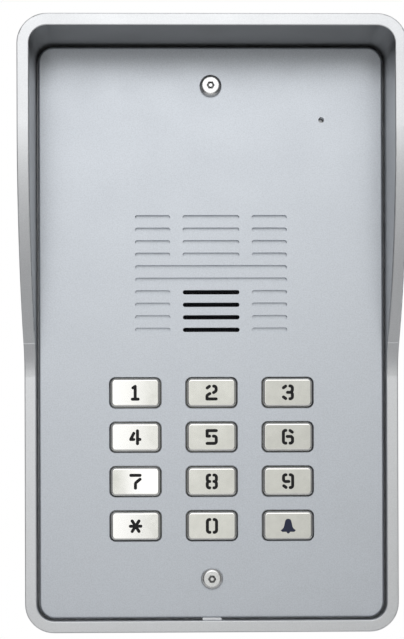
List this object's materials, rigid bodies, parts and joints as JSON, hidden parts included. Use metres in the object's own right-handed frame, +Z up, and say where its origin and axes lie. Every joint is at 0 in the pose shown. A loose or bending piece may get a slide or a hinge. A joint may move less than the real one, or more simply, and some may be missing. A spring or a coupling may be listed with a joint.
{
  "type": "door intercom panel",
  "caption": "Hooded metal door entry panel with a telephone-style keypad, a bell key, a slotted loudspeaker grille and a microphone hole, for surface mounting on a wall.",
  "frame": {"origin": "middle of the back face, in the plane that meets the wall", "axes": "+Z up, the panel faces -Y, +X to the right as seen by a visitor"},
  "size_m": [0.1292, 0.0604, 0.2078],
  "materials": {
    "cast_housing": "satin, fine machined and clear-coated",
    "face_plate": "bead-blasted stainless, satin",
    "key_metal": "satin nickel-plated zinc, lightly polished",
    "bright_steel": "polished stainless",
    "zinc_plate": "zinc-plated sheet",
    "zinc_hardware": "bright zinc plate",
    "brass_hardware": "turned brass",
    "black_rubber": "moulded, matt",
    "black_foam": "closed-cell foam, matt",
    "silicone": "translucent grey silicone",
    "carbon": "carbon-loaded, matt",
    "black_plastic": "moulded, fine grain",
    "white_plastic": "moulded nylon",
    "green_board": "solder mask over glass laminate",
    "green_terminal": "moulded nylon",
    "relay_case": "moulded case",
    "capacitor_sleeve": "shrink sleeve",
    "chip_body": "epoxy, matt",
    "mesh_steel": "fine woven steel, blackened",
    "cone_film": "thin film",
    "magnet_steel": "plated pot",
    "mic_can": "drawn can",
    "lead_insulation": "thin insulation"
  },
  "bodies": {
    "root": {"hood_housing": "cast_housing", "front_plate": "face_plate", "plate_gasket": "black_rubber", "security_screws": "bright_steel", "back_plate": "zinc_plate", "back_gasket": "black_rubber", "back_plate_screws": "zinc_hardware", "cable_grommet": "black_rubber", "keypad_frame": "black_plastic", "keypad_mat": "silicone", "carbon_pills": "carbon", "keypad_board": "green_board", "keypad_studs": "zinc_hardware", "keypad_nuts": "zinc_hardware", "board_connector": "black_plastic", "speaker_mesh": "mesh_steel", "speaker_gasket": "black_foam", "speaker_frame": "black_plastic", "speaker_cone": "cone_film", "speaker_magnet": "magnet_steel", "speaker_terminals": "green_board", "speaker_clamp": "zinc_hardware", "speaker_studs": "zinc_hardware", "speaker_nuts": "zinc_hardware", "mic_boot": "black_rubber", "mic_capsule": "mic_can", "main_board": "green_board", "pcb_standoffs": "brass_hardware", "pcb_screws": "zinc_hardware", "terminal_block": "green_terminal", "terminal_screws": "zinc_hardware", "relay": "relay_case", "capacitors": "capacitor_sleeve", "main_chip": "chip_body", "lead_plugs": "white_plastic", "speaker_leads": "lead_insulation", "mic_leads": "lead_insulation"},
    "key_1_body": {"key_1": "key_metal"},
    "key_2_body": {"key_2": "key_metal"},
    "key_3_body": {"key_3": "key_metal"},
    "key_4_body": {"key_4": "key_metal"},
    "key_5_body": {"key_5": "key_metal"},
    "key_6_body": {"key_6": "key_metal"},
    "key_7_body": {"key_7": "key_metal"},
    "key_8_body": {"key_8": "key_metal"},
    "key_9_body": {"key_9": "key_metal"},
    "key_star_body": {"key_star": "key_metal"},
    "key_0_body": {"key_0": "key_metal"},
    "key_bell_body": {"key_bell": "key_metal"}
  },
  "joints": [
    {"name": "key_1_press", "type": "slide", "parent": "root", "child": "key_1_body", "axis": [0, 1, 0], "range_m": [0, 0.001], "stiffness_N_per_m": 1500, "deforming": ["keypad_mat", "carbon_pills"]},
    {"name": "key_2_press", "type": "slide", "parent": "root", "child": "key_2_body", "axis": [0, 1, 0], "range_m": [0, 0.001], "stiffness_N_per_m": 1500, "deforming": ["keypad_mat", "carbon_pills"]},
    {"name": "key_3_press", "type": "slide", "parent": "root", "child": "key_3_body", "axis": [0, 1, 0], "range_m": [0, 0.001], "stiffness_N_per_m": 1500, "deforming": ["keypad_mat", "carbon_pills"]},
    {"name": "key_4_press", "type": "slide", "parent": "root", "child": "key_4_body", "axis": [0, 1, 0], "range_m": [0, 0.001], "stiffness_N_per_m": 1500, "deforming": ["keypad_mat", "carbon_pills"]},
    {"name": "key_5_press", "type": "slide", "parent": "root", "child": "key_5_body", "axis": [0, 1, 0], "range_m": [0, 0.001], "stiffness_N_per_m": 1500, "deforming": ["keypad_mat", "carbon_pills"]},
    {"name": "key_6_press", "type": "slide", "parent": "root", "child": "key_6_body", "axis": [0, 1, 0], "range_m": [0, 0.001], "stiffness_N_per_m": 1500, "deforming": ["keypad_mat", "carbon_pills"]},
    {"name": "key_7_press", "type": "slide", "parent": "root", "child": "key_7_body", "axis": [0, 1, 0], "range_m": [0, 0.001], "stiffness_N_per_m": 1500, "deforming": ["keypad_mat", "carbon_pills"]},
    {"name": "key_8_press", "type": "slide", "parent": "root", "child": "key_8_body", "axis": [0, 1, 0], "range_m": [0, 0.001], "stiffness_N_per_m": 1500, "deforming": ["keypad_mat", "carbon_pills"]},
    {"name": "key_9_press", "type": "slide", "parent": "root", "child": "key_9_body", "axis": [0, 1, 0], "range_m": [0, 0.001], "stiffness_N_per_m": 1500, "deforming": ["keypad_mat", "carbon_pills"]},
    {"name": "key_star_press", "type": "slide", "parent": "root", "child": "key_star_body", "axis": [0, 1, 0], "range_m": [0, 0.001], "stiffness_N_per_m": 1500, "deforming": ["keypad_mat", "carbon_pills"]},
    {"name": "key_0_press", "type": "slide", "parent": "root", "child": "key_0_body", "axis": [0, 1, 0], "range_m": [0, 0.001], "stiffness_N_per_m": 1500, "deforming": ["keypad_mat", "carbon_pills"]},
    {"name": "key_bell_press", "type": "slide", "parent": "root", "child": "key_bell_body", "axis": [0, 1, 0], "range_m": [0, 0.001], "stiffness_N_per_m": 1500, "deforming": ["keypad_mat", "carbon_pills"]}
  ]
}
